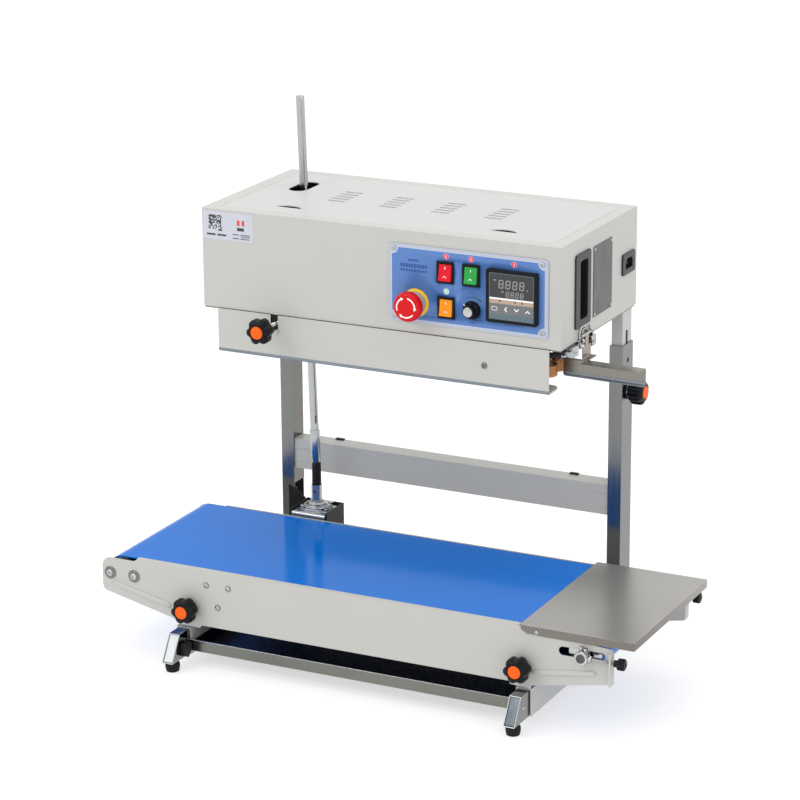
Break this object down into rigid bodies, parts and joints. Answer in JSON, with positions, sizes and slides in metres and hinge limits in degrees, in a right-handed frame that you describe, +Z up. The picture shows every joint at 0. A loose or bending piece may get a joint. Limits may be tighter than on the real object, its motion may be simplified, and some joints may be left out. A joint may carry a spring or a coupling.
{
  "type": "continuous band sealer",
  "caption": "Vertical continuous band sealer: a height-adjustable sealing head on columns over a short belt conveyor with an infeed plate.",
  "frame": {"origin": "middle of the machine's footprint box, on the floor under the rubber feet", "axes": "+X towards the infeed end (right as seen from the control panel), +Y to the back, +Z up"},
  "size_m": [0.8076, 0.423, 0.7579],
  "materials": {
    "white_paint": "cream-white powder coat, fine texture",
    "stainless": "brushed and polished stainless steel",
    "zinc": "zinc-plated steel",
    "black_paint": "black powder coat",
    "black_plastic": "black moulded plastic",
    "rubber": "black rubber",
    "blue_belt": "glossy blue PVC belt",
    "panel_film": "printed blue and grey panel film",
    "brass": "machined brass",
    "ptfe": "brown PTFE-coated glass belt",
    "copper_wheel": "copper-coloured wheel",
    "yellow": "yellow plastic",
    "red": "red plastic",
    "green": "translucent green plastic",
    "orange": "translucent orange plastic",
    "motor": "grey painted motor"
  },
  "bodies": {
    "frame": {"base_frame": "stainless", "cross_channel_left": "white_paint", "cross_channel_right": "white_paint", "rubber_foot_left_front": "rubber", "rubber_foot_left_back": "rubber", "rubber_foot_right_front": "rubber", "rubber_foot_right_back": "rubber", "base_tray": "black_paint", "column_left": "stainless", "column_right": "stainless", "conveyor_front_panel": "white_paint", "conveyor_back_panel": "white_paint", "slider_bed": "stainless", "conveyor_belt": "blue_belt", "table_plate": "stainless", "gearbox_housing": "black_paint", "flange_bearing": "zinc"},
    "drive_shaft": {"pinion_shaft": "zinc", "shaft_coupling": "rubber"},
    "drive_rod": {"drive_rod": "zinc"},
    "head": {"head_housing": "white_paint", "bottom_plate": "white_paint", "leg_left": "white_paint", "leg_right": "white_paint", "crossbar": "white_paint", "heater_unit": "brass", "seal_belt_front": "ptfe", "seal_belt_rear": "ptfe", "gear_motor": "motor", "control_panel": "panel_film", "temperature_controller": "black_plastic", "emergency_stop_base": "yellow", "handle_recess": "black_plastic", "mains_inlet": "black_plastic", "infeed_guide": "stainless"},
    "lid": {"head_lid": "white_paint"},
    "guard": {"skirt_guard": "white_paint"},
    "left_roller": {"left_roller": "zinc"},
    "tail_roller": {"tail_roller": "zinc"},
    "drive_roller": {"drive_roller": "rubber"},
    "thumb_screw_front": {"thumb_screw_front": "black_plastic"},
    "thumb_screw_back": {"thumb_screw_back": "black_plastic"},
    "conveyor_knob_front_left": {"conveyor_knob_front_left": "black_plastic"},
    "conveyor_knob_front_right": {"conveyor_knob_front_right": "black_plastic"},
    "conveyor_knob_back_left": {"conveyor_knob_back_left": "black_plastic"},
    "conveyor_knob_back_right": {"conveyor_knob_back_right": "black_plastic"},
    "column_knob_left": {"column_knob_left": "black_plastic"},
    "column_knob_right": {"column_knob_right": "black_plastic"},
    "guard_knob": {"guard_knob": "black_plastic"},
    "seal_wheel_front_left": {"seal_wheel_front_left": "copper_wheel"},
    "seal_wheel_front_right": {"seal_wheel_front_right": "copper_wheel"},
    "seal_wheel_rear_left": {"seal_wheel_rear_left": "copper_wheel"},
    "seal_wheel_rear_right": {"seal_wheel_rear_right": "copper_wheel"},
    "sliding_gear": {"sliding_gear": "zinc"},
    "emergency_stop_button": {"emergency_stop_button": "red"},
    "speed_knob": {"speed_knob": "black_plastic"},
    "rocker_red": {"rocker_red": "red"},
    "rocker_green": {"rocker_green": "green"},
    "rocker_orange": {"rocker_orange": "orange"},
    "latch_lever": {"latch_lever": "zinc"}
  },
  "joints": [
    {"name": "drive_shaft_spin", "type": "hinge", "parent": "frame", "child": "drive_shaft", "pos_m": [-0.21415, 0.1225, 0.15], "axis": [0, 0, 1], "continuous": true},
    {"name": "drive_rod_spin", "type": "hinge", "parent": "frame", "child": "drive_rod", "pos_m": [-0.21711, 0.1225, 0.3], "axis": [-0.0302, 0, 0.9995], "continuous": true},
    {"name": "left_roller_spin", "type": "hinge", "parent": "frame", "child": "left_roller", "pos_m": [-0.37215, -0.0385, 0.117], "axis": [0, 1, 0], "continuous": true},
    {"name": "tail_roller_spin", "type": "hinge", "parent": "frame", "child": "tail_roller", "pos_m": [0.33185, -0.0385, 0.117], "axis": [0, 1, 0], "continuous": true},
    {"name": "drive_roller_spin", "type": "hinge", "parent": "frame", "child": "drive_roller", "pos_m": [-0.21415, -0.0385, 0.112], "axis": [0, 1, 0], "continuous": true},
    {"name": "thumb_screw_front_turn", "type": "hinge", "parent": "frame", "child": "thumb_screw_front", "pos_m": [0.34485, -0.1725, 0.115], "axis": [1, 0, 0], "range_deg": [-180, 180]},
    {"name": "thumb_screw_back_turn", "type": "hinge", "parent": "frame", "child": "thumb_screw_back", "pos_m": [0.34485, 0.0985, 0.115], "axis": [1, 0, 0], "range_deg": [-180, 180]},
    {"name": "conveyor_knob_front_left_turn", "type": "hinge", "parent": "frame", "child": "conveyor_knob_front_left", "pos_m": [-0.26215, -0.1655, 0.086], "axis": [0, 1, 0], "range_deg": [-180, 180]},
    {"name": "conveyor_knob_front_right_turn", "type": "hinge", "parent": "frame", "child": "conveyor_knob_front_right", "pos_m": [0.24385, -0.1655, 0.086], "axis": [0, 1, 0], "range_deg": [-180, 180]},
    {"name": "conveyor_knob_back_left_turn", "type": "hinge", "parent": "frame", "child": "conveyor_knob_back_left", "pos_m": [-0.28115, 0.0915, 0.086], "axis": [0, 1, 0], "range_deg": [-180, 180]},
    {"name": "conveyor_knob_back_right_turn", "type": "hinge", "parent": "frame", "child": "conveyor_knob_back_right", "pos_m": [0.24385, 0.0915, 0.086], "axis": [0, 1, 0], "range_deg": [-180, 180]},
    {"name": "column_knob_left_turn", "type": "hinge", "parent": "frame", "child": "column_knob_left", "pos_m": [-0.29515, 0.185, 0.37], "axis": [1, 0, 0], "range_deg": [-180, 180]},
    {"name": "column_knob_right_turn", "type": "hinge", "parent": "frame", "child": "column_knob_right", "pos_m": [0.24485, 0.185, 0.37], "axis": [1, 0, 0], "range_deg": [-180, 180]},
    {"name": "head_height", "type": "slide", "parent": "frame", "child": "head", "axis": [0, 0, 1], "range_m": [-0.015, 0.08]},
    {"name": "lid_open", "type": "hinge", "parent": "head", "child": "lid", "pos_m": [-0.0238, 0.1935, 0.628], "axis": [-1, 0, 0], "range_deg": [0, 38]},
    {"name": "guard_drop", "type": "slide", "parent": "head", "child": "guard", "axis": [0, 0, 1], "range_m": [-0.018, 0.003]},
    {"name": "guard_knob_turn", "type": "hinge", "parent": "head", "child": "guard_knob", "pos_m": [-0.18355, -0.0511, 0.4748], "axis": [0, 1, 0], "range_deg": [-180, 180]},
    {"name": "seal_wheel_front_left_spin", "type": "hinge", "parent": "head", "child": "seal_wheel_front_left", "pos_m": [-0.25715, -0.032, 0.455], "axis": [0, 0, 1], "continuous": true},
    {"name": "seal_wheel_front_right_spin", "type": "hinge", "parent": "head", "child": "seal_wheel_front_right", "pos_m": [0.21685, -0.032, 0.455], "axis": [0, 0, 1], "continuous": true},
    {"name": "seal_wheel_rear_left_spin", "type": "hinge", "parent": "head", "child": "seal_wheel_rear_left", "pos_m": [-0.25715, -0.0015, 0.455], "axis": [0, 0, 1], "continuous": true},
    {"name": "seal_wheel_rear_right_spin", "type": "hinge", "parent": "head", "child": "seal_wheel_rear_right", "pos_m": [0.21685, -0.0015, 0.455], "axis": [0, 0, 1], "continuous": true},
    {"name": "sliding_gear_spin", "type": "hinge", "parent": "head", "child": "sliding_gear", "pos_m": [-0.22415, 0.1225, 0.498], "axis": [0, 0, 1], "continuous": true},
    {"name": "emergency_stop_press", "type": "slide", "parent": "head", "child": "emergency_stop_button", "axis": [0, 1, 0], "range_m": [0, 0.004]},
    {"name": "speed_knob_turn", "type": "hinge", "parent": "head", "child": "speed_knob", "pos_m": [0.11665, -0.0506, 0.53], "axis": [0, -1, 0], "range_deg": [-20, 260]},
    {"name": "rocker_red_tilt", "type": "hinge", "parent": "head", "child": "rocker_red", "pos_m": [0.07785, -0.054, 0.5772], "axis": [1, 0, 0], "range_deg": [-18.8, 0]},
    {"name": "rocker_green_tilt", "type": "hinge", "parent": "head", "child": "rocker_green", "pos_m": [0.11545, -0.054, 0.5774], "axis": [1, 0, 0], "range_deg": [-18.8, 0]},
    {"name": "rocker_orange_tilt", "type": "hinge", "parent": "head", "child": "rocker_orange", "pos_m": [0.07885, -0.054, 0.5289], "axis": [1, 0, 0], "range_deg": [-18.8, 0]},
    {"name": "latch_lever_swing", "type": "hinge", "parent": "head", "child": "latch_lever", "pos_m": [0.25015, 0.026, 0.494], "axis": [0, -1, 0], "range_deg": [0, 100]}
  ],
  "couplings": [
    {"joint": "drive_roller_spin", "follows": "drive_shaft_spin", "ratio": 1},
    {"joint": "left_roller_spin", "follows": "drive_shaft_spin", "ratio": 0.75949},
    {"joint": "tail_roller_spin", "follows": "drive_shaft_spin", "ratio": 0.75949},
    {"joint": "drive_rod_spin", "follows": "drive_shaft_spin", "ratio": 1},
    {"joint": "sliding_gear_spin", "follows": "drive_shaft_spin", "ratio": 1},
    {"joint": "seal_wheel_front_left_spin", "follows": "drive_shaft_spin", "ratio": -1.26},
    {"joint": "seal_wheel_front_right_spin", "follows": "drive_shaft_spin", "ratio": -1.26},
    {"joint": "seal_wheel_rear_left_spin", "follows": "drive_shaft_spin", "ratio": 1.26},
    {"joint": "seal_wheel_rear_right_spin", "follows": "drive_shaft_spin", "ratio": 1.26}
  ]
}
